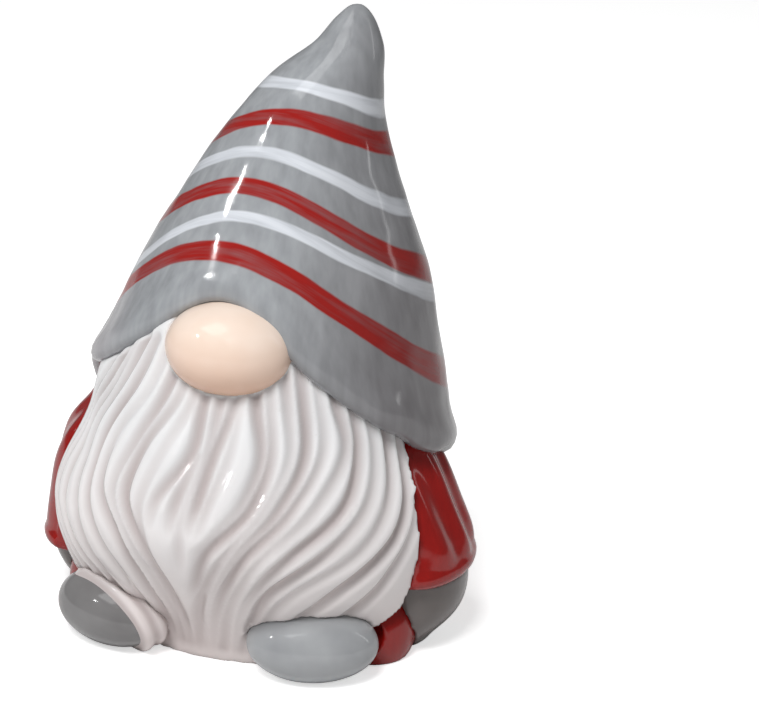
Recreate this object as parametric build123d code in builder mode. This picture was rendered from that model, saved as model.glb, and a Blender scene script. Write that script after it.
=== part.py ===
from build123d import *
import os

# Tomte gnome figurine in glazed earthenware: a hollow slip-cast body that carries a hat, a nose,
# a beard, a coat with two sleeves, mittens, trouser legs and boots, each its own piece of clay.
# Millimetres. The floor is Z = 0, the gnome faces -Y, and its left hand is on +X.
os.makedirs("parts", exist_ok=True)

# Body: the hollow core that every other piece is laid on
body_half_width = 23.5
body_half_depth = 22.3
body_set_back = 2.3
body_wall = 3.0
body_top_below_tip = 28.0
neck_lean = 2.0
pour_hole_radius = 5.0
foot_ring_width = 4.0
foot_recess = 0.8

# Hat: a bent cone over the head, open underneath
figure_height = 85.0
hat_thickness = 1.6
hat_skirt = 20.0
hat_tip_lean = 10.0
hat_tip_set_back = 3.6
hat_wall = 3.2
hat_solid_tip = 10.0

# The hat's rim: an arch over the nose that falls to the sides and on to the back
rim_front = 50.2
rim_left = 28.3
rim_right = 31.0
rim_back = 22.5
rim_shift = 1.2
rim_bend = 12.0
rim_back_rise = 2.2

# Beard: from under the rim to the floor, fullest at the belly
beard_side = 3.7
beard_belly = 7.45
beard_edge = 8.0

# Coat with two sleeves, and the mittens under their hems
hem_height = 11.0
coat_rise = 18.0
coat_flare = 3.7
coat_side = 1.6
sleeve_rise = 25.0
sleeve_flare = 7.0
sleeve_shoulder = 1.0
sleeve_root = 5.5
sleeve_half_depth = 10.0
arm_line = 1.5
mitten_inset = 0.5
mitten_foot_inset = 5.0
mitten_half_depth = 8.0

# Nose, boots and trouser legs
nose_half_width = 8.2
nose_half_depth = 7.0
nose_half_height = 6.0
nose_drop = 6.2
nose_stand_out = 0.2
nose_shift = 1.8
boot_half_length = 8.7
boot_half_width = 6.0
boot_half_height = 5.0
boot_sink = 0.4
boot_spread = 14.2
boot_tuck = 4.8
boot_turn = 20.0
leg_half_width = 5.2
leg_half_length = 9.0
leg_half_height = 6.5
leg_sink = 3.0
leg_inset = 3.8
leg_front = 4.5


def lofted(stations):
    """A round form through level ovals: height, half width, half depth, centre x and centre y."""
    with BuildPart() as form:
        for height, half_width, half_depth, centre_x, centre_y in stations:
            with BuildSketch(Plane.XY.offset(height)):
                with Locations((centre_x, centre_y)):
                    Ellipse(half_width, half_depth)
        loft()
    return form.part


def rounded(centre, half_sizes, turn=0):
    """An egg-like form with three half sizes, its poles at front and back, turned about the vertical."""
    with BuildPart() as form:
        Sphere(1, rotation=(90, 0, 0))
        scale(by=half_sizes)
    return form.part.moved(Location(centre, (0, 0, turn)))


def section_at(stations, height):
    """The oval of a lofted form at one height, between the two stations around it."""
    for lower, upper in zip(stations, stations[1:]):
        if height <= upper[0]:
            share = (height - lower[0]) / (upper[0] - lower[0])
            return [a + (b - a) * share for a, b in zip(lower, upper)]
    return stations[-1]


# Body: fraction of its height, of its half width and depth, and of the neck's lean
body_profile = [(0, 0.88, 0.7, 0), (0.06, 0.96, 0.82, 0), (0.14, 1, 0.94, 0), (0.35, 1, 1, 0),
                (0.56, 0.91, 0.93, 0), (0.77, 0.77, 0.79, 0.3), (1, 0.5, 0.52, 1)]
body_height = figure_height - body_top_below_tip
body_stations = [
    (body_height * up, body_half_width * wide, body_half_depth * deep, neck_lean * lean, body_set_back)
    for up, wide, deep, lean in body_profile]
body_form = lofted(body_stations)
floor_stations = [(body_wall, *section_at(body_stations, body_wall)[1:])] + body_stations[1:]
cavity_stations = [(height, half_width - body_wall, half_depth - body_wall, centre_x, centre_y)
                   for height, half_width, half_depth, centre_x, centre_y in floor_stations]

# Hat: fraction of the way from skirt to tip, of the skirt's half width, and of the tip's lean
hat_profile = [(0, 1, 0.05), (0.154, 1, 0.06), (0.308, 0.9, 0.13), (0.462, 0.773, 0.22),
               (0.615, 0.59, 0.32), (0.738, 0.435, 0.44), (0.846, 0.303, 0.67), (0.923, 0.182, 0.92),
               (0.977, 0.085, 1), (1, 0.03, 1.02)]
hat_half_width = body_half_width + hat_thickness
hat_half_depth = body_half_depth + hat_thickness
hat_stations = [
    (hat_skirt + (figure_height - hat_skirt) * up,
     hat_half_width * wide,
     (hat_half_depth + (hat_half_width - hat_half_depth) * up) * wide,
     hat_tip_lean * lean,
     body_set_back + hat_tip_set_back * lean)
    for up, wide, lean in hat_profile]
hat_form = lofted(hat_stations)
hollow_top = figure_height - hat_solid_tip
between = [station[0] for station in hat_stations if body_height < station[0] < hollow_top]
hollow_stations = [(height, half_width - hat_wall, half_depth - hat_wall, centre_x, centre_y)
                   for height, half_width, half_depth, centre_x, centre_y
                   in (section_at(hat_stations, height) for height in [body_height, *between, hollow_top])]

# Everything under the rim: an arch over the front half, and a slope over the rear half
arch_profile = [(0.36, 0.27), (0.55, 0.46), (0.75, 0.66), (0.925, 0.835), (1, 1)]
rim_sides = {"right": (-1, rim_right), "left": (1, rim_left)}
arch_points = {
    side: [(rim_shift * (1 - out) + sign * hat_half_width * out, rim_front - (rim_front - rim_side) * fall)
           for out, fall in arch_profile]
    for side, (sign, rim_side) in rim_sides.items()}
clear = 2 * body_half_width
deep_down = -10.0
with BuildPart() as under_rim:
    with BuildSketch(Plane.XZ):
        with BuildLine():
            arch = Spline(*reversed(arch_points["right"]), (rim_shift, rim_front), *arch_points["left"])
            Polyline(arch @ 1, (clear, rim_left), (clear, deep_down),
                     (-clear, deep_down), (-clear, rim_right), arch @ 0)
        make_face()
    extrude(amount=clear)
    for sign, rim_side in rim_sides.values():
        with BuildSketch(Plane.YZ):
            with BuildLine():
                slope = Spline((0, rim_side), (rim_bend, rim_back + rim_back_rise), (clear, rim_back),
                               tangents=[(1, -0.6), (1, 0)])
                Polyline(slope @ 1, (clear, deep_down), (0, deep_down), slope @ 0)
            make_face()
        extrude(amount=sign * clear)

with BuildPart() as hat:
    add(hat_form)
    add(under_rim.part, mode=Mode.SUBTRACT)
    add(body_form, mode=Mode.SUBTRACT)
    add(lofted(hollow_stations), mode=Mode.SUBTRACT)
hat.part.label = "hat"

foot_oval = body_stations[0]
with BuildPart() as body:
    add(body_form)
    add(lofted(cavity_stations), mode=Mode.SUBTRACT)
    with BuildSketch(Plane.XY):
        with Locations((0, body_set_back)):
            Ellipse(foot_oval[1] - foot_ring_width, foot_oval[2] - foot_ring_width)
    extrude(amount=foot_recess, mode=Mode.SUBTRACT)
    with BuildSketch(Plane.XY):
        with Locations((0, body_set_back)):
            Circle(pour_hole_radius)
    extrude(amount=2 * body_wall, mode=Mode.SUBTRACT)
body.part.label = "body"

# Beard: fraction of the rim's front height, of its half width and of its half depth
beard_profile = [(0, 0.81, 0.585), (0.1, 0.92, 0.66), (0.2, 0.985, 0.79), (0.3, 1, 0.92), (0.42, 0.985, 1),
                 (0.52, 0.92, 0.97), (0.64, 0.845, 0.86), (0.76, 0.79, 0.745), (0.88, 0.725, 0.635),
                 (1, 0.64, 0.545), (1.08, 0.58, 0.5)]
beard_half_width = body_half_width + beard_side
beard_half_depth = body_half_depth - body_set_back + beard_belly
beard_form = lofted([(rim_front * up, beard_half_width * wide, beard_half_depth * deep, 0, 0)
                     for up, wide, deep in beard_profile])
# The beard's edge towards the sleeves: share of the rim's height, and of how far forward the edge lies
edge_profile = [(0, 1.75), (0.1, 1.375), (0.18, 1.06), (0.28, 1), (0.44, 0.94), (0.58, 0.625)]
edge_points = [(-beard_edge * forward, rim_front * up) for up, forward in edge_profile]
with BuildPart() as front_region:
    with BuildSketch(Plane.YZ):
        with BuildLine():
            Polyline((-clear, deep_down), (edge_points[0][0], deep_down), *edge_points,
                     (edge_points[-1][0], figure_height), (-clear, figure_height), close=True)
        make_face()
    extrude(amount=clear, both=True)
with BuildPart() as ground:
    with BuildSketch(Plane.XY):
        Rectangle(2 * clear, 2 * clear)
    extrude(amount=deep_down)

hat_front = section_at(hat_stations, rim_front)
nose_centre = (nose_shift, hat_front[4] - hat_front[2] - nose_stand_out, rim_front - nose_drop)
nose_form = rounded(nose_centre, (nose_half_width, nose_half_depth, nose_half_height))
with BuildPart() as nose:
    add(nose_form)
    add(under_rim.part, mode=Mode.INTERSECT)
    add(body_form, mode=Mode.SUBTRACT)
nose.part.label = "nose"

sides = {"right": -1, "left": 1}
body_front = body_set_back - body_half_depth
boot_forms = {side: rounded((sign * boot_spread, body_front + boot_tuck, boot_half_height - boot_sink),
                            (boot_half_length, boot_half_width, boot_half_height), sign * boot_turn)
              for side, sign in sides.items()}
with BuildPart() as beard:
    add(beard_form)
    add(under_rim.part, mode=Mode.INTERSECT)
    add(front_region.part, mode=Mode.INTERSECT)
    add(body_form, mode=Mode.SUBTRACT)
    add(nose_form, mode=Mode.SUBTRACT)
    for side in sides:
        add(boot_forms[side], mode=Mode.SUBTRACT)
beard.part.label = "beard"

# Coat: share of its rise above the hem and of the flare, from one edge of the beard round to the other
coat_profile = [(0, 0.95), (0.083, 1), (0.222, 0.93), (0.444, 0.75), (0.667, 0.6), (1, 0.55)]
coat_stations = []
for up, share in coat_profile:
    level = hem_height + coat_rise * up
    height, half_width, half_depth, centre_x, centre_y = section_at(body_stations, level)
    coat_stations.append((height, half_width + coat_side * share, half_depth + coat_flare * share,
                          centre_x, centre_y))
with BuildPart() as coat:
    add(lofted(coat_stations))
    add(under_rim.part, mode=Mode.INTERSECT)
    for neighbour in (front_region.part, body_form):
        add(neighbour, mode=Mode.SUBTRACT)
coat.part.label = "coat"

# Sleeve: shares of its rise above the hem, of its flare and of its half depth
sleeve_profile = [(0, 0.93, 0.98), (0.064, 1, 1), (0.14, 0.97, 1), (0.248, 0.8, 0.97), (0.368, 0.58, 0.9),
                  (0.492, 0.37, 0.8), (0.624, 0.1, 0.66), (1, -0.35, 0.42)]
# Mitten: shares of the hem's height, of how far its rounded foot draws in, and of its half depth
mitten_profile = [(0, 1, 0.65), (0.12, 0.8, 0.75), (0.33, 0.4, 0.9), (0.53, 0.12, 0.97), (0.75, 0, 1), (1, 0, 1)]
sleeve_inner = body_half_width - sleeve_root
pieces = [hat.part, body.part, nose.part, beard.part, coat.part]
for side, sign in sides.items():
    sleeve_stations = []
    for up, share, deep in sleeve_profile:
        outer = body_half_width + sleeve_shoulder + (sleeve_flare - sleeve_shoulder) * share
        sleeve_stations.append((hem_height + sleeve_rise * up, (outer - sleeve_inner) / 2, sleeve_half_depth * deep,
                                sign * (outer + sleeve_inner) / 2, arm_line))
    with BuildPart() as sleeve:
        add(lofted(sleeve_stations))
        add(under_rim.part, mode=Mode.INTERSECT)
        for neighbour in (body_form, beard.part, coat.part):
            add(neighbour, mode=Mode.SUBTRACT)
    sleeve.part.label = "sleeve_" + side

    mitten_stations = []
    for up, draw_in, deep in mitten_profile:
        outer = body_half_width + sleeve_flare - mitten_inset - mitten_foot_inset * draw_in
        mitten_stations.append((hem_height * up, (outer - sleeve_inner) / 2, mitten_half_depth * deep,
                                sign * (outer + sleeve_inner) / 2, arm_line))
    with BuildPart() as boot:
        add(boot_forms[side])
        add(ground.part, mode=Mode.SUBTRACT)
        add(body_form, mode=Mode.SUBTRACT)
    boot.part.label = "boot_" + side

    leg_centre = (sign * (body_half_width - leg_inset), -leg_front, leg_half_height - leg_sink)
    with BuildPart() as leg:
        add(rounded(leg_centre, (leg_half_width, leg_half_length, leg_half_height)))
        add(ground.part, mode=Mode.SUBTRACT)
        for neighbour in (body_form, beard.part, boot.part):
            add(neighbour, mode=Mode.SUBTRACT)
    leg.part.label = "trouser_leg_" + side

    with BuildPart() as mitten:
        add(lofted(mitten_stations))
        for neighbour in (body_form, beard.part, boot.part, leg.part):
            add(neighbour, mode=Mode.SUBTRACT)
    mitten.part.label = "mitten_" + side
    pieces += [sleeve.part, mitten.part, boot.part, leg.part]

for piece in pieces:
    export_step(piece, "parts/" + piece.label + ".step")
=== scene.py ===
from math import atan2, cos, degrees, pi, radians, sin, sqrt

import bmesh
import bpy
from mathutils import Matrix, Quaternion, Vector, noise
from mathutils.bvhtree import BVHTree
from mathutils.kdtree import KDTree


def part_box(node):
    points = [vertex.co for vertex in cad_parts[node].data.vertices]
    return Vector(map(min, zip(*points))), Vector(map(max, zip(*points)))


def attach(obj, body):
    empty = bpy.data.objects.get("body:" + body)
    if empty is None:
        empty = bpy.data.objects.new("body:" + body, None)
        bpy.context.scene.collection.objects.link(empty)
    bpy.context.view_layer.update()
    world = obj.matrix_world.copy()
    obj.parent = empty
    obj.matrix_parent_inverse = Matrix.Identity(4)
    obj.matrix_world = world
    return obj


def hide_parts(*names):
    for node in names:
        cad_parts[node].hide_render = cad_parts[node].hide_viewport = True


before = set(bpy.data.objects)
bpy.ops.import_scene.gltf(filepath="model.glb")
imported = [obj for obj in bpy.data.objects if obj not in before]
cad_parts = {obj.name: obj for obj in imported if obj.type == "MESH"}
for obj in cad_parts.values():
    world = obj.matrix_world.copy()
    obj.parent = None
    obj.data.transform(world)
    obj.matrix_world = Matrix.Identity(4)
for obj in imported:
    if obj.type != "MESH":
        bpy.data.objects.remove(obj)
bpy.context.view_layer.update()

# A tomte gnome in glazed earthenware. Shapes are worked out in millimetres and scaled to metres
# at the end. The gnome faces -Y and its left hand is on +X. Angles round the figure are in
# degrees from the front, counted towards its left hand.
mm = 0.001
seamWeld = 0.002         # mm, joins the loose triangles of a CAD node
footCut = 0.02           # mm above the floor, where round pieces are cut off level
ballFaces = {"u_segments": 96, "v_segments": 64, "radius": 1}
scene = bpy.context.scene


def report(text):
    print("gnome:", text)


def clamp(value, low=0.0, high=1.0):
    return min(max(value, low), high)


def ease(value, low=0.0, high=1.0):
    share = clamp((value - low) / (high - low))
    return share * share * (3 - 2 * share)


def smoothThrough(points, at):
    # a smooth curve through (place, value) points, level past the ends
    last = len(points) - 2
    i = 0
    while i < last and at > points[i + 1][0]:
        i += 1

    def slope(j):
        low, high = points[max(j - 1, 0)], points[min(j + 1, last + 1)]
        return (high[1] - low[1]) / (high[0] - low[0])

    (x0, y0), (x1, y1) = points[i], points[i + 1]
    width = x1 - x0
    t = clamp((at - x0) / width)
    rise = (1 + 2 * t) * (1 - t) ** 2 * y0 + t * t * (3 - 2 * t) * y1
    return rise + width * (t * (1 - t) ** 2 * slope(i) - t * t * (1 - t) * slope(i + 1))


def ripple(place, size):
    # soft unevenness of hand-pressed clay, from -1 to 1
    return noise.noise(Vector(place) / size)


def finishPiece(name, shape, nodes, material):
    # nothing reaches below the floor
    for vert in shape.verts:
        vert.co.z = max(vert.co.z, 0)
        vert.co *= mm
    mesh = bpy.data.meshes.new(name)
    shape.to_mesh(mesh)
    shape.free()
    for face in mesh.polygons:
        face.use_smooth = True
    piece = bpy.data.objects.new(name, mesh)
    scene.collection.objects.link(piece)
    mesh.materials.append(material)
    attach(piece, "root")
    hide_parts(*nodes)
    return piece


def evenClay(node, grain, rounding):
    # a copy of a CAD node with an even skin of small faces and its edges rubbed round, in mm
    shape = bmesh.new()
    shape.from_mesh(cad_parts[node].data)
    bmesh.ops.scale(shape, vec=(1 / mm, 1 / mm, 1 / mm), verts=shape.verts)
    bmesh.ops.remove_doubles(shape, verts=shape.verts, dist=seamWeld)
    mesh = bpy.data.meshes.new(node + "Even")
    shape.to_mesh(mesh)
    shape.free()
    copy = bpy.data.objects.new(node + "Even", mesh)
    scene.collection.objects.link(copy)
    remesh = copy.modifiers.new("evenSkin", "REMESH")
    remesh.mode = "VOXEL"
    remesh.voxel_size = grain
    rub = copy.modifiers.new("rubbedEdges", "SMOOTH")
    rub.iterations = rounding
    view = bpy.context.evaluated_depsgraph_get()
    even = bpy.data.meshes.new_from_object(copy.evaluated_get(view))
    bpy.data.objects.remove(copy)
    shape = bmesh.new()
    shape.from_mesh(even)
    bpy.data.meshes.remove(even)
    shape.normal_update()
    return shape


def pressRelief(shape, relief):
    # moves each point along its normal by what relief(place, normal) says
    moves = [(vert, vert.normal * relief(vert.co, vert.normal)) for vert in shape.verts]
    for vert, move in moves:
        vert.co += move
    shape.normal_update()


def flatFoot(shape):
    # cuts a piece off level where it stands on the floor
    cut = bmesh.ops.bisect_plane(shape, geom=shape.verts[:] + shape.edges[:] + shape.faces[:],
                                 plane_co=(0, 0, footCut), plane_no=(0, 0, -1), clear_outer=True)
    rim = [edge for edge in cut["geom_cut"] if isinstance(edge, bmesh.types.BMEdge)]
    if rim:
        bmesh.ops.holes_fill(shape, edges=rim)
    bmesh.ops.recalc_face_normals(shape, faces=shape.faces)


def colour(code):
    # an sRGB hex value as the linear colour that a shader takes
    parts = [int(code[i:i + 2], 16) / 255 for i in (1, 3, 5)]
    return tuple(p / 12.92 if p <= 0.04045 else ((p + 0.055) / 1.055) ** 2.4 for p in parts) + (1,)


# sockets of a Mix node that blends colours: how much of the second, the two colours, the result
mixShare, mixFirst, mixSecond, mixed = 0, 6, 7, 2


def addNode(material, kind, settings=None):
    # a value that is a node, or another node's output, is linked, and any other is set
    tree = material.node_tree
    node = tree.nodes.new(kind)
    for key, value in (settings or {}).items():
        source = value.outputs[0] if isinstance(value, bpy.types.Node) else value
        if isinstance(source, bpy.types.NodeSocket):
            tree.links.new(source, node.inputs[key])
        elif isinstance(key, int) or key in node.inputs:
            node.inputs[key].default_value = value
        else:
            setattr(node, key, value)
    return node


def emptyNodes(owner):
    owner.use_nodes = True
    owner.node_tree.nodes.clear()
    return owner


def newMaterial(name):
    # a material without nodes, and the place on the piece that its patterns read
    material = emptyNodes(bpy.data.materials.new(name))
    return material, addNode(material, "ShaderNodeTexCoord").outputs["Object"]


# wave and skin sizes and heights in mm
glaze = {"ior": 1.52, "glossiest": 0.07, "dullest": 0.16, "glossSpread": (0.35, 0.65),
         "waveSize": 7.0, "waveHeight": 0.16, "waveDetail": 1.5,
         "skinSize": 1.3, "skinHeight": 0.006, "skinDetail": 2.0}


def clearGlaze(material, place, paint):
    # a clear gloss glaze over the paint: it ran a little in the kiln, so its skin is softly wavy
    waves = addNode(material, "ShaderNodeTexNoise", {
        "Scale": 1 / (glaze["waveSize"] * mm), "Detail": glaze["waveDetail"], "Vector": place})
    skin = addNode(material, "ShaderNodeTexNoise", {
        "Scale": 1 / (glaze["skinSize"] * mm), "Detail": glaze["skinDetail"], "Vector": place})
    slow = addNode(material, "ShaderNodeBump", {
        "Strength": 1.0, "Distance": glaze["waveHeight"] * mm, "Height": waves})
    fine = addNode(material, "ShaderNodeBump", {
        "Strength": 1.0, "Distance": glaze["skinHeight"] * mm, "Height": skin, "Normal": slow})
    low, high = glaze["glossSpread"]
    gloss = addNode(material, "ShaderNodeMapRange", {
        "From Min": low, "From Max": high, "To Min": glaze["glossiest"],
        "To Max": glaze["dullest"], "Value": waves})
    shader = addNode(material, "ShaderNodeBsdfPrincipled", {
        "IOR": glaze["ior"], "Base Color": paint, "Roughness": gloss, "Normal": fine})
    addNode(material, "ShaderNodeOutputMaterial", {"Surface": shader})


hat = {
    "skirt": 20.0, "halfWidth": 25.1, "halfDepth": 23.9, "leastHalf": 0.1,
    "tipLean": 10.0, "tipSetBack": 3.6, "back": 2.3,
    # share of the height above the skirt, of the half width, and of the tip's lean
    "profile": [(0, 1, 0.05), (0.154, 1, 0.06), (0.308, 0.9, 0.13), (0.462, 0.773, 0.22),
                (0.615, 0.59, 0.32), (0.738, 0.435, 0.44), (0.846, 0.303, 0.67),
                (0.923, 0.182, 0.92), (0.977, 0.09, 1), (1, 0, 1.02)],
    # the rolled lip, from under the rim outwards and up: mm out of the skin, mm above the edge
    "lip": [(-5.0, 2.2), (-3.4, 0.9), (-2.3, 0.1), (-1.3, -0.35), (-0.4, -0.3), (0.3, 0.1),
            (0.75, 0.8), (0.95, 1.7), (0.9, 2.6), (0.65, 3.6), (0.35, 4.8), (0.12, 6.2)],
    "lipFade": 0.06,     # share of the way up over which the lip's swelling runs out
    "lipReach": 5,       # mm from the axis, nearer than which nothing is swollen
    "columns": 300, "rows": 125, "rowBias": 1.25, "tipWeld": 0.01,
    # the heights between which the rim's edge is looked for, how closely, the ray's start and
    # length as shares of the hat's width there, and how many columns each way are smoothed
    "rimSearch": (15.0, 60.0), "rimCloseness": 0.02, "rayStart": 1.5, "rayLength": 0.6,
    "rimSmooth": 6,
    "unevenness": 0.3, "dentSize": 9.0, "fineShare": 0.4, "fineSize": 4.0,
}
bands = {
    # rings fan out downwards from one level: how far they fall behind per fallSpan mm below it,
    # as a steady part, a part that changes once round the hat and a part that changes twice
    "drawLevel": 79.0, "turn": 8, "fall": (12.97, -11.0, -1.97), "fallSpan": 22,
    # level at the front in mm, its rise per mm towards the left hand, width in mm, which colour
    "rings": [(55.6, 0.0, 2.3, "red"), (59.7, 0.09, 1.3, "white"), (63.4, 0.0, 2.0, "red"),
              (67.4, 0.02, 1.35, "white"), (71.4, 0.07, 1.9, "red"), (75.9, -0.06, 1.3, "white")],
    "wobble": 0.35, "wobbleSize": 9.0, "softEdge": 0.28,
}
hatPaint = {
    "red": ("#7a1110", "#ac241e"), "white": ("#c2c7cf", "#e3e6eb"),
    "leastCover": {"red": 0.78, "white": 0.7}, "coverSpread": (0.3, 0.55),
    # the grey ground coat: its patches, the strokes in it and how much the strokes count
    "patches": ("#7b7e82", "#b2b5b9"), "patchSize": 16,
    "ground": ("#55575a", "#c3c7ca"), "groundShare": 0.45,
    "uprights": (620, 620, 50),     # per metre: strokes 1.6 mm wide and 20 mm high
    "strokes": (70, 70, 1.25),      # per metre and per mm of level: 14 mm long, 0.8 mm wide
    # mm to the left where painted light begins and where it is full, how full, and its colour:
    # painted shade browns the ground coat towards the left hand; a painted reflection makes it rosy
    # at the far right
    "paintedShadeAndReflection": ((6, 25, 0.4, "#655c5b"), (-12, -24, 0.35, "#a8959a")),
    "paintedShade": (8, 25, 0.35, "#3e2c2b"),   # the same for painted shade that darkens ground and bands
}
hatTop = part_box("hat")[1].z / mm


def hatRing(height):
    # centre x, centre y, half width and half depth of the hat at one height
    up = (height - hat["skirt"]) / (hatTop - hat["skirt"])
    squared = smoothThrough([(u, w * w) for u, w, lean in hat["profile"]], up)
    wide = sqrt(max(squared, 0))
    lean = smoothThrough([(u, lean) for u, w, lean in hat["profile"]], up)
    depth = hat["halfDepth"] + (hat["halfWidth"] - hat["halfDepth"]) * up
    return (hat["tipLean"] * lean, hat["back"] + hat["tipSetBack"] * lean,
            hat["halfWidth"] * wide, depth * wide)


def bandLevel(x, y, height):
    # the height at the front of the ring that passes through this point of the hat
    centreX, centreY, halfWidth, halfDepth = hatRing(height)
    angle = atan2((x - centreX) / max(halfWidth, hat["leastHalf"]),
                  -(y - centreY) / max(halfDepth, hat["leastHalf"]))
    turned = angle + radians(bands["turn"])
    steady, once, twice = bands["fall"]
    fall = (steady + once * cos(turned) + twice * cos(2 * turned)) / bands["fallSpan"]
    return (height + bands["drawLevel"] * fall) / (1 + fall)


def rimHeights(columns):
    # the height of the CAD hat's lower edge in each direction from its axis
    shape = bmesh.new()
    shape.from_mesh(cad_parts["hat"].data)
    tree = BVHTree.FromBMesh(shape)
    shape.free()
    found = []
    for column in range(columns):
        angle = 2 * pi * column / columns - pi
        low, high = hat["rimSearch"]
        while high - low > hat["rimCloseness"]:
            height = (low + high) / 2
            centreX, centreY, halfWidth, halfDepth = hatRing(max(height, hat["skirt"]))
            out = Vector((sin(angle) * halfWidth, -cos(angle) * halfDepth, 0))
            start = Vector((centreX, centreY, height)) + out * hat["rayStart"]
            length = out.length * hat["rayLength"] * mm
            hit = tree.ray_cast(start * mm, -out.normalized(), length)[0]
            low, high = (low, height) if hit else (height, high)
        found.append(high)
    reach = hat["rimSmooth"]
    return [sum(found[(i + j) % columns] for j in range(-reach, reach + 1)) / (2 * reach + 1)
            for i in range(columns)]


def makeHat(material):
    def relief(place, normal):
        fine = hat["fineShare"] * ripple(place, hat["fineSize"])
        return hat["unevenness"] * (ripple(place, hat["dentSize"]) + fine)

    columns, rows, lip = hat["columns"], hat["rows"], hat["lip"]
    rim = rimHeights(columns)
    shape = bmesh.new()
    bmesh.ops.create_grid(shape, x_segments=columns, y_segments=rows + len(lip), size=0.5)
    level = shape.verts.layers.float.new("bandLevel")
    for vert in shape.verts:
        column = round((vert.co.x + 0.5) * columns) % columns
        row = round((vert.co.y + 0.5) * (rows + len(lip)))
        angle = 2 * pi * column / columns - pi
        # where the rim climbs steeply the lip is drawn out upwards, so that it stays as thick
        step = rim[(column + 1) % columns] - rim[column - 1]
        climb = step * columns / (4 * pi * hat["halfWidth"])
        stretch = sqrt(1 + climb * climb)
        lipTop = rim[column] + lip[-1][1] * stretch
        if row < len(lip):
            out, rise = lip[row]
            height = rim[column] + rise * stretch
        else:
            share = (row - len(lip) + 1) / (rows + 1)
            out = lip[-1][0] * (1 - ease(share, 0, hat["lipFade"]))
            height = lipTop + (hatTop - lipTop) * (1 - (1 - share) ** hat["rowBias"])
        centreX, centreY, halfWidth, halfDepth = hatRing(height)
        x, y = sin(angle) * halfWidth, -cos(angle) * halfDepth
        reach = sqrt(x * x + y * y)
        swell = 1 + out / reach if reach > hat["lipReach"] else 1
        vert.co = (centreX + x * swell, centreY + y * swell, height)
        vert[level] = bandLevel(vert.co.x, vert.co.y, height)
    bmesh.ops.remove_doubles(shape, verts=shape.verts, dist=hat["tipWeld"])
    bmesh.ops.holes_fill(shape, edges=[edge for edge in shape.edges if edge.is_boundary])
    bmesh.ops.recalc_face_normals(shape, faces=shape.faces)
    shape.normal_update()
    pressRelief(shape, relief)
    return finishPiece("hat_striped", shape, ["hat"], material)


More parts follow.
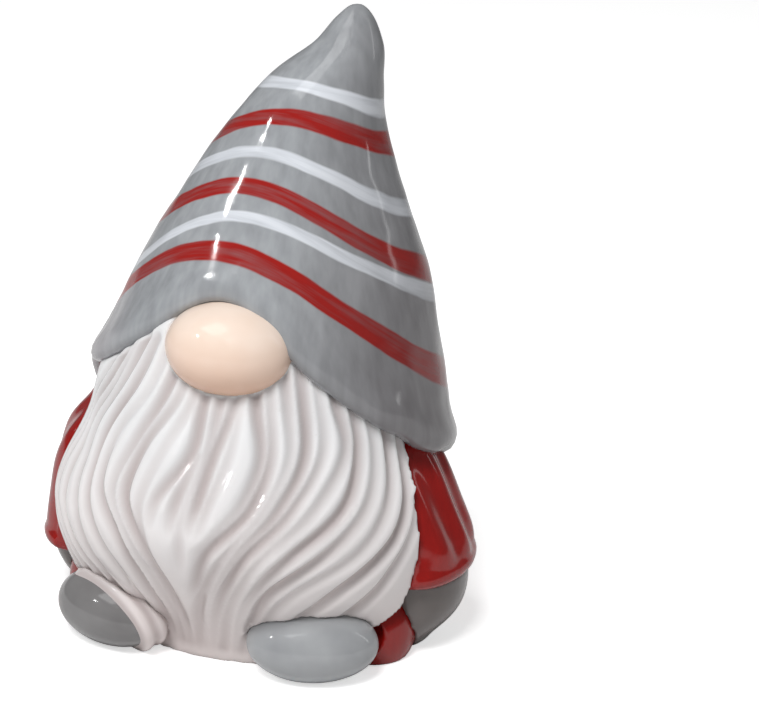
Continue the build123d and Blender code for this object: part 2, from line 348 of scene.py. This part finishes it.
def hatGlaze():
    # grey, white and red underglaze brushed on earthenware under clear glaze: strokes run with the
    # rings and let the grey through, and the bands' edges waver as a brush does
    material, place = newMaterial("brushedHatGlaze")
    split = addNode(material, "ShaderNodeSeparateXYZ", {0: place})
    toLeft = split.outputs["X"]
    level = addNode(material, "ShaderNodeAttribute", {"attribute_name": "bandLevel"}).outputs["Fac"]
    onRing = addNode(material, "ShaderNodeCombineXYZ", {
        "X": toLeft, "Y": split.outputs["Y"], "Z": level})
    drawn = addNode(material, "ShaderNodeVectorMath", {
        "operation": "MULTIPLY", 0: onRing, 1: hatPaint["strokes"]})
    streaks = addNode(material, "ShaderNodeTexNoise", {
        "Scale": 1.0, "Detail": 3.0, "Roughness": 0.6, "Vector": drawn})
    patches = addNode(material, "ShaderNodeTexNoise", {
        "Scale": 1 / (hatPaint["patchSize"] * mm), "Detail": 2.0, "Vector": place})
    upright = addNode(material, "ShaderNodeMapping", {
        "Scale": hatPaint["uprights"], "Vector": place})
    ground = addNode(material, "ShaderNodeTexNoise", {
        "Scale": 1.0, "Detail": 2.5, "Vector": upright})
    coats = {}
    for paint, share in (("patches", patches), ("ground", ground), ("red", streaks),
                         ("white", streaks)):
        first, second = hatPaint[paint]
        coats[paint] = addNode(material, "ShaderNodeMix", {
            "data_type": "RGBA", mixShare: share, mixFirst: colour(first),
            mixSecond: colour(second)}).outputs[mixed]
    surface = addNode(material, "ShaderNodeMix", {
        "data_type": "RGBA", mixShare: hatPaint["groundShare"], mixFirst: coats["patches"],
        mixSecond: coats["ground"]}).outputs[mixed]

    def paintSideLight(surface, start, end, full, paintedLight):
        # painted shade and painted reflection: another tone mixed over the surface, growing towards
        # one side
        side = addNode(material, "ShaderNodeMapRange", {
            "From Min": start * mm, "From Max": end * mm, "To Min": 0.0, "To Max": full,
            "Value": toLeft})
        return addNode(material, "ShaderNodeMix", {
            "data_type": "RGBA", mixShare: side, mixFirst: surface,
            mixSecond: colour(paintedLight)}).outputs[mixed]

    # painted shade darkens the grey towards the left hand, and a painted reflection makes it rosy
    # at the far right
    for paintedLight in hatPaint["paintedShadeAndReflection"]:
        surface = paintSideLight(surface, *paintedLight)
    wobble = addNode(material, "ShaderNodeTexNoise", {
        "Scale": 1 / (bands["wobbleSize"] * mm), "Detail": 2.0, "Vector": place})
    shift = addNode(material, "ShaderNodeMath", {
        "operation": "MULTIPLY_ADD", 0: wobble, 1: 2 * bands["wobble"], 2: -bands["wobble"]})
    wavering = addNode(material, "ShaderNodeMath", {"operation": "ADD", 0: level, 1: shift})
    thin, thick = hatPaint["coverSpread"]
    for centre, drift, width, paint in bands["rings"]:
        tilted = addNode(material, "ShaderNodeMath", {
            "operation": "MULTIPLY_ADD", 0: toLeft, 1: -drift / mm, 2: wavering})
        off = addNode(material, "ShaderNodeMath", {"operation": "SUBTRACT", 0: tilted, 1: centre})
        far = addNode(material, "ShaderNodeMath", {"operation": "ABSOLUTE", 0: off})
        mask = addNode(material, "ShaderNodeMapRange", {
            "interpolation_type": "SMOOTHSTEP", "From Min": width / 2 - bands["softEdge"] / 2,
            "From Max": width / 2 + bands["softEdge"] / 2, "To Min": 1.0, "To Max": 0.0,
            "Value": far})
        cover = addNode(material, "ShaderNodeMapRange", {
            "From Min": thin, "From Max": thick, "To Min": hatPaint["leastCover"][paint],
            "To Max": 1.0, "Value": streaks})
        share = addNode(material, "ShaderNodeMath", {"operation": "MULTIPLY", 0: mask, 1: cover})
        surface = addNode(material, "ShaderNodeMix", {
            "data_type": "RGBA", mixShare: share, mixFirst: surface,
            mixSecond: coats[paint]}).outputs[mixed]
    # painted shade darkens ground and bands towards the left hand
    clearGlaze(material, place, paintSideLight(surface, *hatPaint["paintedShade"]))
    return material


beard = {
    "grain": 0.38, "rounding": 3, "depth": 1.15, "lockHalf": 1.65, "softening": 0.4,
    "facing": (0.25, 0.6),          # grooves fade where the skin turns away from the front
    "lowShare": 0.55, "highMore": 0.45, "lowFade": (2, 16),     # shallower near the floor
    "swell": 0.25, "swellBase": 0.6, "swellSize": 6.0,
    # the edge over the right sleeve is drawn in: how far to the right, above and down to where
    "tuck": 1.2, "tuckRight": (10, 22), "tuckAbove": (18, 28), "tuckBelow": (-50, -40),
    # each groove's own depth: its least share, its swing, the beat from groove to groove and the
    # mm of height that one radian of the swing takes
    "least": 0.72, "swing": 0.28, "beat": 2.4, "slowness": 7,
    "runIn": 7, "floorLevel": 3,    # a groove that ends above floorLevel runs out over runIn mm
    "rayStart": 60, "step": 0.25,
    "heights": (44, 38, 32, 26, 20, 14, 8, 2),
    # the grooves between the locks: angle round the beard at each of those heights
    "grooves": [
        (-44, -54, -64, -68, -66, -60, -54, -50),
        (-40, -48, -58, -61, -58, -52, -46, -43),
        (-36, -42, -51, -53, -49, -44, -39, -36),
        (-33, -37, -45, -45, -39, -36, -33, -31),
        (-27, -30, -37, -37, -31, -25, -23, -21),
        (-19, -22, -30, -30, -21, -17, -16, -16),
        (-12, -15, -21, -24, -16, -11, -11, -13),
        (-7, -9, -17, -19, -12, -8, -10, -11),
        (-2, -3, -9, -13, -11, -8, -8, -9),
        (2, 1, 0, -8, -8, None, None, None),
        (None, None, 2, -2, -3, None, None, None),
        (8, 7, 5, 1, 0, 0, None, None),
        (13, 12, 7, 4, 1, None, None, None),
        (15, 14, 12, 7, 4, None, None, None),
        (19, 20, 22, 16, 6, 3, None, None),
        (24, 25, 25, 19, 8, 3, -3, None),
        (30, 31, 31, 23, 13, 6, 0, -4),
        (36, 37, 36, 27, 16, 9, 3, -1),
        (42, 43, 42, 31, 19, 12, 7, 3),
        (48, 49, 50, 38, 23, 16, 11, 8),
        (54, 55, 55, 48, 31, 21, 16, 13),
        (58, 60, 61, 56, 41, 26, 21, 17),
        (64, 66, 68, 64, 52, 33, 25, 21),
        (70, 72, 74, 72, 63, 47, 35, 28),
        (74, 75, 77, 76, 70, 61, 50, 42),
    ],
    "white": ("#e2e2e3", "#efeff0"), "warmShade": ("#d6cac8", "#e2dad8"), "grooveShade": "#a99a98",
    "patchSize": 14, "shadeBelow": (2, 34), "grooveSpread": (0.15, 1.0), "grooveShare": 0.75,
}


def beardGrooves(tree):
    # points along every groove, on the skin of the beard
    points = []
    for rank, row in enumerate(beard["grooves"]):
        guide = sorted((height, angle) for height, angle in zip(beard["heights"], row)
                       if angle is not None)
        start = guide[0][0]
        height = start
        while height < guide[-1][0]:
            angle = radians(smoothThrough(guide, height))
            out = Vector((sin(angle), -cos(angle), 0))
            hit = tree.ray_cast(Vector((0, 0, height)) + out * beard["rayStart"], -out)[0]
            if hit:
                swing = beard["swing"] * sin(beard["beat"] * rank + height / beard["slowness"])
                endsHigh = start > beard["floorLevel"]
                fade = ease(height - start, 0, beard["runIn"]) if endsHigh else 1
                points.append((hit, (beard["least"] + swing) * fade))
            height += beard["step"]
    return points


def makeBeard(material):
    # returns the skin of the finished beard, for what lies against it
    shape = evenClay("beard", beard["grain"], beard["rounding"])
    points = beardGrooves(BVHTree.FromBMesh(shape))
    nearest = KDTree(len(points))
    for i, (place, depth) in enumerate(points):
        nearest.insert(place, i)
    nearest.balance()
    groove = shape.verts.layers.float.new("groove")
    moves = []
    for vert in shape.verts:
        place = vert.co
        front = Vector((place.x, place.y, 0)).normalized()
        facing = ease(vert.normal.dot(front), *beard["facing"])
        deepest = 0.0
        for found, index, distance in nearest.find_range(place, beard["lockHalf"]):
            hollow = 0.5 + 0.5 * cos(pi * distance / beard["lockHalf"])
            deepest = max(deepest, hollow * points[index][1])
        low = beard["lowShare"] + beard["highMore"] * ease(place.z, *beard["lowFade"])
        cut = deepest * facing * low
        swell = beard["swell"] * (beard["swellBase"] + ripple(place, beard["swellSize"])) * facing
        moves.append((vert, vert.normal * (swell - beard["depth"] * cut)))
        vert[groove] = clamp(cut)
    for vert, move in moves:
        vert.co += move
    for vert in shape.verts:
        beside = ease(-vert.co.x, *beard["tuckRight"])
        level = ease(vert.co.z, *beard["tuckAbove"])
        vert.co.x += beard["tuck"] * beside * level * ease(-vert.co.z, *beard["tuckBelow"])
    bmesh.ops.smooth_vert(shape, verts=shape.verts, factor=beard["softening"], use_axis_x=True,
                          use_axis_y=True, use_axis_z=True)
    skin = BVHTree.FromBMesh(shape)
    finishPiece("beard_locks", shape, ["beard"], material)
    return skin


boot = {"half": (8.7, 6.0, 5.0), "centre": (14.2, -15.2, 4.6), "turn": 20.0,
        "unevenness": 0.07, "dentSize": 5.0}
footLock = {
    "faces": {"u_segments": 160, "v_segments": 100, "radius": 1},
    # what a point's shares of the boot's length, depth and height count in its place across
    "across": (0.27, 0.91, 0.3),
    "edge": (-0.32, -0.14), "toe": (-0.8, -0.4),        # where the lock begins, in those shares
    "firstGroove": 0.24, "grooveStep": 0.3, "grooveHalf": 0.4,
    "rise": 0.95, "cut": 0.35, "sink": 0.2,             # mm off the boot
    "beardGap": (-0.4, 0.9), "farGap": (-5.5, -3.5),    # mm from the beard's skin
}


def makeFootLock(beardSkin, material):
    # the locks of the beard that lie over the inner side of the right boot
    half, (x, y, z), turn = boot["half"], boot["centre"], radians(-boot["turn"])
    alongShare, backShare, upShare = footLock["across"]
    shape = bmesh.new()
    bmesh.ops.create_uvsphere(shape, **footLock["faces"])
    groove = shape.verts.layers.float.new("groove")
    places = []
    for vert in shape.verts:
        along, back, up = vert.co
        across = alongShare * along + backShare * back + upShare * up
        edge = ease(across, *footLock["edge"]) * ease(along, *footLock["toe"])
        wave = cos((across + footLock["firstGroove"]) * 2 * pi / footLock["grooveStep"])
        vert[groove] = footLock["grooveHalf"] + footLock["grooveHalf"] * wave
        places.append((edge, Vector((along * half[0], back * half[1], up * half[2]))))
    for vert, (edge, place) in zip(shape.verts, places):
        vert.co = place
    bmesh.ops.rotate(shape, matrix=Matrix.Rotation(turn, 3, "Z"), verts=shape.verts)
    bmesh.ops.translate(shape, vec=(-x, y, z), verts=shape.verts)
    shape.normal_update()
    lifts = []
    for vert, (edge, place) in zip(shape.verts, places):
        gap = beardSkin.find_nearest(vert.co)[3]
        free = ease(gap, *footLock["beardGap"]) * ease(-gap, *footLock["farGap"])
        rise = edge * free * (footLock["rise"] - footLock["cut"] * vert[groove])
        lifts.append((vert, vert.normal * (rise - footLock["sink"] * (1 - edge))))
    for vert, lift in lifts:
        vert.co += lift
    flatFoot(shape)
    return finishPiece("beard_foot_lock", shape, ["beard"], material)


def beardGlaze():
    # white glaze on buff clay, cool and even on the locks; the grooves are darker, partly painted
    # shade and partly glaze pooled in them, and the lower end is darker and warmer, partly a pink
    # tone and partly painted shade
    material, place = newMaterial("whiteBeardGlaze")
    groove = addNode(material, "ShaderNodeAttribute", {"attribute_name": "groove"}).outputs["Fac"]
    patches = addNode(material, "ShaderNodeTexNoise", {
        "Scale": 1 / (beard["patchSize"] * mm), "Detail": 2.0, "Vector": place})
    split = addNode(material, "ShaderNodeSeparateXYZ", {0: place})
    foot, waist = beard["shadeBelow"]
    # the lower end turns darker and warmer, partly a pink tone and partly painted shade
    low = addNode(material, "ShaderNodeMapRange", {
        "From Min": foot * mm, "From Max": waist * mm, "To Min": 1.0, "To Max": 0.0,
        "Value": split.outputs["Z"]})
    coats = [addNode(material, "ShaderNodeMix", {
        "data_type": "RGBA", mixShare: patches, mixFirst: colour(beard[coat][0]),
        mixSecond: colour(beard[coat][1])}).outputs[mixed] for coat in ("white", "warmShade")]
    skin = addNode(material, "ShaderNodeMix", {
        "data_type": "RGBA", mixShare: low, mixFirst: coats[0], mixSecond: coats[1]})
    # the grooves are darkened, partly painted shade and partly glaze pooled in them
    shallow, deep = beard["grooveSpread"]
    depth = addNode(material, "ShaderNodeMapRange", {
        "From Min": shallow, "From Max": deep, "To Min": 0.0, "To Max": beard["grooveShare"],
        "Value": groove})
    surface = addNode(material, "ShaderNodeMix", {
        "data_type": "RGBA", mixShare: depth, mixFirst: skin.outputs[mixed],
        mixSecond: colour(beard["grooveShade"])})
    clearGlaze(material, place, surface.outputs[mixed])
    return material


nose = {"centre": (1.8, -15.6, 43.7), "half": (8.35, 7.1, 6.1), "unevenness": 0.08,
        "dentSize": 5.0, "dabSize": 5, "pale": ("#f0d8c6", "#f7e6d9"),
        "warmShade": "#dfb296", "shadeFrom": 47, "shadeTo": 38}


def makeNose(material):
    shape = bmesh.new()
    bmesh.ops.create_uvsphere(shape, **ballFaces)
    bmesh.ops.rotate(shape, matrix=Matrix.Rotation(pi / 2, 3, "X"), verts=shape.verts)
    bmesh.ops.scale(shape, vec=nose["half"], verts=shape.verts)
    bmesh.ops.translate(shape, vec=nose["centre"], verts=shape.verts)
    shape.normal_update()
    pressRelief(shape, lambda place, normal: nose["unevenness"] * ripple(place, nose["dentSize"]))
    return finishPiece("nose_ball", shape, ["nose"], material)


def noseGlaze():
    # flesh-pink underglaze, dabbed on: pale on top, with painted shade making it darker and warmer
    # below
    material, place = newMaterial("peachNoseGlaze")
    split = addNode(material, "ShaderNodeSeparateXYZ", {0: place})
    # painted shade: the lower part of the nose turns darker and warmer
    lower = addNode(material, "ShaderNodeMapRange", {
        "From Min": nose["shadeTo"] * mm, "From Max": nose["shadeFrom"] * mm, "To Min": 1.0,
        "To Max": 0.0, "Value": split.outputs["Z"]})
    dabs = addNode(material, "ShaderNodeTexNoise", {
        "Scale": 1 / (nose["dabSize"] * mm), "Detail": 2.0, "Vector": place})
    skin = addNode(material, "ShaderNodeMix", {
        "data_type": "RGBA", mixShare: dabs, mixFirst: colour(nose["pale"][0]),
        mixSecond: colour(nose["pale"][1])})
    surface = addNode(material, "ShaderNodeMix", {
        "data_type": "RGBA", mixShare: lower, mixFirst: skin.outputs[mixed],
        mixSecond: colour(nose["warmShade"])})
    clearGlaze(material, place, surface.outputs[mixed])
    return material


# lengths in mm; a pair of numbers is where a form begins and where it is full
coat = {
    "grain": 0.45, "rounding": 6, "hemHeight": 11.0, "facing": (0.2, 0.6),
    # soft folds: how many round the figure, where they start in degrees, their share
    "folds": ((11, 0, 0.6), (7, 40, 0.4)), "foldDepth": 0.5,
    "foldTop": 18, "foldFade": (2, 14), "foldRise": (0, 4),
    "hemRoll": 0.3, "rollHeight": 1.2, "rollFade": (0.2, 1.3),
}
sleeve = {
    "grain": 0.4, "rounding": 6, "hemHeight": 11.0, "facing": (0.1, 0.5),
    # folds spread from a line inside the arm and lean a little as they climb
    "folds": 14, "foldLean": 0.12, "foldShift": 0.6, "foldDepth": 0.35, "armBack": 1.5,
    "armHalf": 12, "foldTop": 26, "foldFade": (2, 14), "foldRise": (1, 5),
    "hemRoll": 0.4, "rollHeight": 1.2, "rollFade": (0.2, 1.4),
    "longer": {"left": 0.0, "right": 3.2}, "longerBelow": 26, "longerFade": (0, 13),
    "fuller": {"left": 0.0, "right": 1.5}, "fullerRise": (3, 11), "fullerFade": (-21, -12),
}


def hemRoll(form, up):
    return form["hemRoll"] * (1 - ease(abs(up - form["rollHeight"]), *form["rollFade"]))


def makeCoat(material):
    def relief(place, normal):
        angle = degrees(atan2(place.x, -place.y))
        up = place.z - coat["hemHeight"]
        out = Vector((place.x, place.y, 0)).normalized()
        fold = sum(sin(radians(angle * count + start)) * share
                   for count, start, share in coat["folds"])
        high = ease(coat["foldTop"] - up, *coat["foldFade"])
        fall = coat["foldDepth"] * fold * high * ease(up, *coat["foldRise"])
        return ease(normal.dot(out), *coat["facing"]) * (fall + hemRoll(coat, up))

    shape = evenClay("coat", coat["grain"], coat["rounding"])
    pressRelief(shape, relief)
    return finishPiece("coat_back", shape, ["coat"], material)


def makeSleeve(side, sign, material):
    def relief(place, normal):
        up = place.z - sleeve["hemHeight"]
        turn = atan2(place.y - sleeve["armBack"], sleeve["armHalf"])
        fold = cos(turn * sleeve["folds"] + sleeve["foldLean"] * up) - sleeve["foldShift"]
        low = ease(up, *sleeve["foldRise"])
        fall = sleeve["foldDepth"] * fold * low * ease(sleeve["foldTop"] - up, *sleeve["foldFade"])
        full = sleeve["fuller"][side] * ease(up, *sleeve["fullerRise"])
        bulge = full * ease(-up, *sleeve["fullerFade"])
        return ease(normal.x * sign, *sleeve["facing"]) * (fall + hemRoll(sleeve, up) + bulge)

    name = "sleeve_" + side
    shape = evenClay(name, sleeve["grain"], sleeve["rounding"])
    pressRelief(shape, relief)
    for vert in shape.verts:
        drop = ease(sleeve["longerBelow"] - vert.co.z, *sleeve["longerFade"])
        vert.co.z -= sleeve["longer"][side] * drop
    return finishPiece(name + "_cloth", shape, [name], material)


redPaint = {"strokes": ("#780f0f", "#a5201b"), "pooled": "#8c1410", "patchSize": 8,
            "uprights": (900, 900, 90)}     # per metre: strokes 1.1 mm wide and 11 mm high


def redGlaze():
    # red underglaze brushed down the cloth: darker where it pooled, a little thin in the strokes
    material, place = newMaterial("brushedRedGlaze")
    upright = addNode(material, "ShaderNodeMapping", {
        "Scale": redPaint["uprights"], "Vector": place})
    strokes = addNode(material, "ShaderNodeTexNoise", {
        "Scale": 1.0, "Detail": 3.0, "Vector": upright})
    patches = addNode(material, "ShaderNodeTexNoise", {
        "Scale": 1 / (redPaint["patchSize"] * mm), "Detail": 2.0, "Vector": place})
    red = addNode(material, "ShaderNodeMix", {
        "data_type": "RGBA", mixShare: strokes, mixFirst: colour(redPaint["strokes"][0]),
        mixSecond: colour(redPaint["strokes"][1])})
    surface = addNode(material, "ShaderNodeMix", {
        "data_type": "RGBA", mixShare: patches, mixFirst: red.outputs[mixed],
        mixSecond: colour(redPaint["pooled"])})
    clearGlaze(material, place, surface.outputs[mixed])
    return material


body = {"grain": 0.6, "rounding": 4, "footHeight": 1.6, "underside": -0.3,
        "clay": ("#b99d82", "#d9c4ab"), "grit": 0.5, "gritHeight": 0.03, "roughness": 0.85}


def makeBody(material, bare):
    # glazed outside; the foot, the drain hole and the hollow are bare clay
    shape = evenClay("body", body["grain"], body["rounding"])
    for face in shape.faces:
        place, normal = face.calc_center_median(), face.normal
        inward = place.x * normal.x + (place.y - hat["back"]) * normal.y < 0
        under = place.z < body["footHeight"] and normal.z < body["underside"]
        face.material_index = 1 if inward or under else 0
    piece = finishPiece("body_core", shape, ["body"], material)
    piece.data.materials.append(bare)
    return piece


def bareClay():
    # fired buff earthenware without glaze: matt, mottled and a little gritty
    material, place = newMaterial("bareEarthenware")
    grit = addNode(material, "ShaderNodeTexNoise", {
        "Scale": 1 / (body["grit"] * mm), "Detail": 4.0, "Vector": place})
    clay = addNode(material, "ShaderNodeMix", {
        "data_type": "RGBA", mixShare: grit, mixFirst: colour(body["clay"][0]),
        mixSecond: colour(body["clay"][1])})
    rough = addNode(material, "ShaderNodeBump", {
        "Strength": 1.0, "Distance": body["gritHeight"] * mm, "Height": grit})
    shader = addNode(material, "ShaderNodeBsdfPrincipled", {
        "Roughness": body["roughness"], "Base Color": clay.outputs[mixed], "Normal": rough})
    addNode(material, "ShaderNodeOutputMaterial", {"Surface": shader})
    return material


mitten = {"grain": 0.35, "rounding": 8, "drawBack": 0, "drawFrom": (4, 13),
          "swell": 0.06, "dentSize": 4.0}
# the legs' fronts are drawn back, more the further forward they reach
leg = {**mitten, "grain": 0.3, "rounding": 3, "drawBack": 2.4}


def softPiece(name, node, form, material):
    # a small piece of clay, smoothed by hand where it meets its neighbours
    shape = evenClay(node, form["grain"], form["rounding"])
    pressRelief(shape, lambda place, normal:
                form["swell"] + form["swell"] * ripple(place, form["dentSize"]))
    for vert in shape.verts:
        vert.co.y += form["drawBack"] * ease(-vert.co.y, *form["drawFrom"])
    return finishPiece(name, shape, [node], material)


def makeBoot(side, sign, material):
    # a rounded lump of clay that stands flat on the floor, its toe turned to the middle
    x, y, z = boot["centre"]
    shape = bmesh.new()
    bmesh.ops.create_uvsphere(shape, **ballFaces)
    bmesh.ops.scale(shape, vec=boot["half"], verts=shape.verts)
    bmesh.ops.rotate(shape, matrix=Matrix.Rotation(radians(sign * boot["turn"]), 3, "Z"),
                     verts=shape.verts)
    bmesh.ops.translate(shape, vec=(x * sign, y, z), verts=shape.verts)
    shape.normal_update()
    pressRelief(shape, lambda place, normal: boot["unevenness"] * ripple(place, boot["dentSize"]))
    flatFoot(shape)
    node = "boot_" + side
    return finishPiece(node + "_toe", shape, [node], material)


# the boots share one grey: the left boot's is painted lighter as a painted reflection, the right
# boot's darker as painted shade
greyPaint = {"patchSize": 7, "mittens": ("#59524f", "#7d7775"), "left": ("#85878a", "#b4b6b8"),
             "right": ("#666464", "#898888")}


def greyGlaze(name, thick, thin):
    # plain grey underglaze, brushed on in patches: lighter where it is thin over the pale clay
    material, place = newMaterial(name)
    patches = addNode(material, "ShaderNodeTexNoise", {
        "Scale": 1 / (greyPaint["patchSize"] * mm), "Detail": 3.0, "Vector": place})
    surface = addNode(material, "ShaderNodeMix", {
        "data_type": "RGBA", mixShare: patches, mixFirst: colour(thick),
        mixSecond: colour(thin)})
    clearGlaze(material, place, surface.outputs[mixed])
    return material


floorLook = {"half": 3000, "colour": "#f2f2f2", "glow": 0.6}


def makeStage():
    # matt pale paper that looks a little lighter than the lamps alone make it
    material = emptyNodes(bpy.data.materials.new("paleFloor"))
    shader = addNode(material, "ShaderNodeBsdfDiffuse", {"Color": colour(floorLook["colour"])})
    seen = addNode(material, "ShaderNodeLightPath").outputs["Is Camera Ray"]
    lift = addNode(material, "ShaderNodeMath", {
        "operation": "MULTIPLY", 0: seen, 1: floorLook["glow"]})
    glow = addNode(material, "ShaderNodeEmission", {"Strength": lift})
    both = addNode(material, "ShaderNodeAddShader", {0: shader, 1: glow})
    addNode(material, "ShaderNodeOutputMaterial", {"Surface": both})
    shape = bmesh.new()
    bmesh.ops.create_grid(shape, x_segments=1, y_segments=1, size=floorLook["half"])
    for vert in shape.verts:
        vert.co *= mm
    mesh = bpy.data.meshes.new("floor")
    shape.to_mesh(mesh)
    shape.free()
    mesh.materials.append(material)
    floor = bpy.data.objects.new("floor", mesh)
    scene.collection.objects.link(floor)


# place, aim and size in mm, power in watts, whether the glaze mirrors it, whether it gives light
lamps = {
    "window": ((-458, -333, 460), (0, 0, 45), (32, 34), 0.42, True, True),
    "ceiling": ((-260, -260, 800), (0, 0, 40), (420, 420), 1.3, True, False),
    "doorway": ((520, 270, 330), (0, 0, 45), (40, 420), 0.13, True, True),
    "softFront": ((-15, -440, 680), (0, 0, 40), (280, 280), 5.0, False, True),
}
# the room behind the lamps is dim, and dimmer in the glaze, so that it mirrors mostly the window
room = {"colour": "#ffffff", "light": 0.22, "mirrored": 0.14}


def makeLights():
    world = emptyNodes(bpy.data.worlds.new("softRoom"))
    scene.world = world
    seen = addNode(world, "ShaderNodeLightPath").outputs["Is Glossy Ray"]
    dim = addNode(world, "ShaderNodeMapRange", {
        "To Min": room["light"], "To Max": room["mirrored"], "Value": seen})
    sky = addNode(world, "ShaderNodeBackground", {"Color": colour(room["colour"]), "Strength": dim})
    addNode(world, "ShaderNodeOutputWorld", {"Surface": sky})
    for name, (place, aim, size, power, mirrored, lighting) in lamps.items():
        light = bpy.data.lights.new(name, "AREA")
        light.shape = "RECTANGLE"
        light.size, light.size_y = (s * mm for s in size)
        light.energy = power
        lamp = bpy.data.objects.new(name, light)
        lamp.location = Vector(place) * mm
        lamp.rotation_euler = (Vector(aim) - Vector(place)).to_track_quat("-Z", "Y").to_euler()
        lamp.visible_glossy = mirrored
        lamp.visible_diffuse = lighting
        scene.collection.objects.link(lamp)


# distance and aim in mm, angles in degrees, lens and sensor in mm, nearest distance in metres
cameraLook = {"distance": 300.0, "around": 20.0, "above": 18.0, "roll": 1.5, "aim": 42.5,
              "lens": 106.4, "sensor": 36.0, "shiftX": 0.1594, "shiftY": -0.0507,
              "nearest": 0.01}


def makeCamera():
    look = cameraLook
    turn, rise = radians(look["around"]), radians(look["above"])
    away = Vector((sin(turn) * cos(rise), -cos(turn) * cos(rise), sin(rise)))
    data = bpy.data.cameras.new("camera")
    data.lens, data.sensor_width = look["lens"], look["sensor"]
    data.shift_x, data.shift_y = look["shiftX"], look["shiftY"]
    data.clip_start = look["nearest"]
    camera = bpy.data.objects.new("camera", data)
    camera.location = (away * look["distance"] + Vector((0, 0, look["aim"]))) * mm
    rolled = (-away).to_track_quat("-Z", "Y") @ Quaternion((0, 0, 1), radians(look["roll"]))
    camera.rotation_euler = rolled.to_euler()
    scene.collection.objects.link(camera)
    scene.camera = camera


scene.view_settings.view_transform = "Standard"
makeStage()
makeLights()
makeCamera()
report("floor, lights and camera")

red = redGlaze()
darkGrey = greyGlaze("darkGreyGlaze", *greyPaint["mittens"])
# lit and shaded copies of the boots' grey: painted reflection on the left boot, painted shade on
# the right
litAndShadedBootGreys = {"left": greyGlaze("litBootGreyGlaze", *greyPaint["left"]),
             "right": greyGlaze("shadedBootGreyGlaze", *greyPaint["right"])}
makeHat(hatGlaze())
report("hat")
whiteGlaze = beardGlaze()
makeFootLock(makeBeard(whiteGlaze), whiteGlaze)
report("beard")
makeNose(noseGlaze())
report("nose")
makeCoat(red)
makeBody(red, bareClay())
report("coat and body")
for side, sign in (("left", 1), ("right", -1)):
    makeSleeve(side, sign, red)
    softPiece("mitten_" + side + "_fist", "mitten_" + side, mitten, darkGrey)
    makeBoot(side, sign, litAndShadedBootGreys[side])
    softPiece("trouser_leg_" + side + "_cuff", "trouser_leg_" + side, leg, red)
    report(side + " sleeve, mitten, boot and trouser leg")
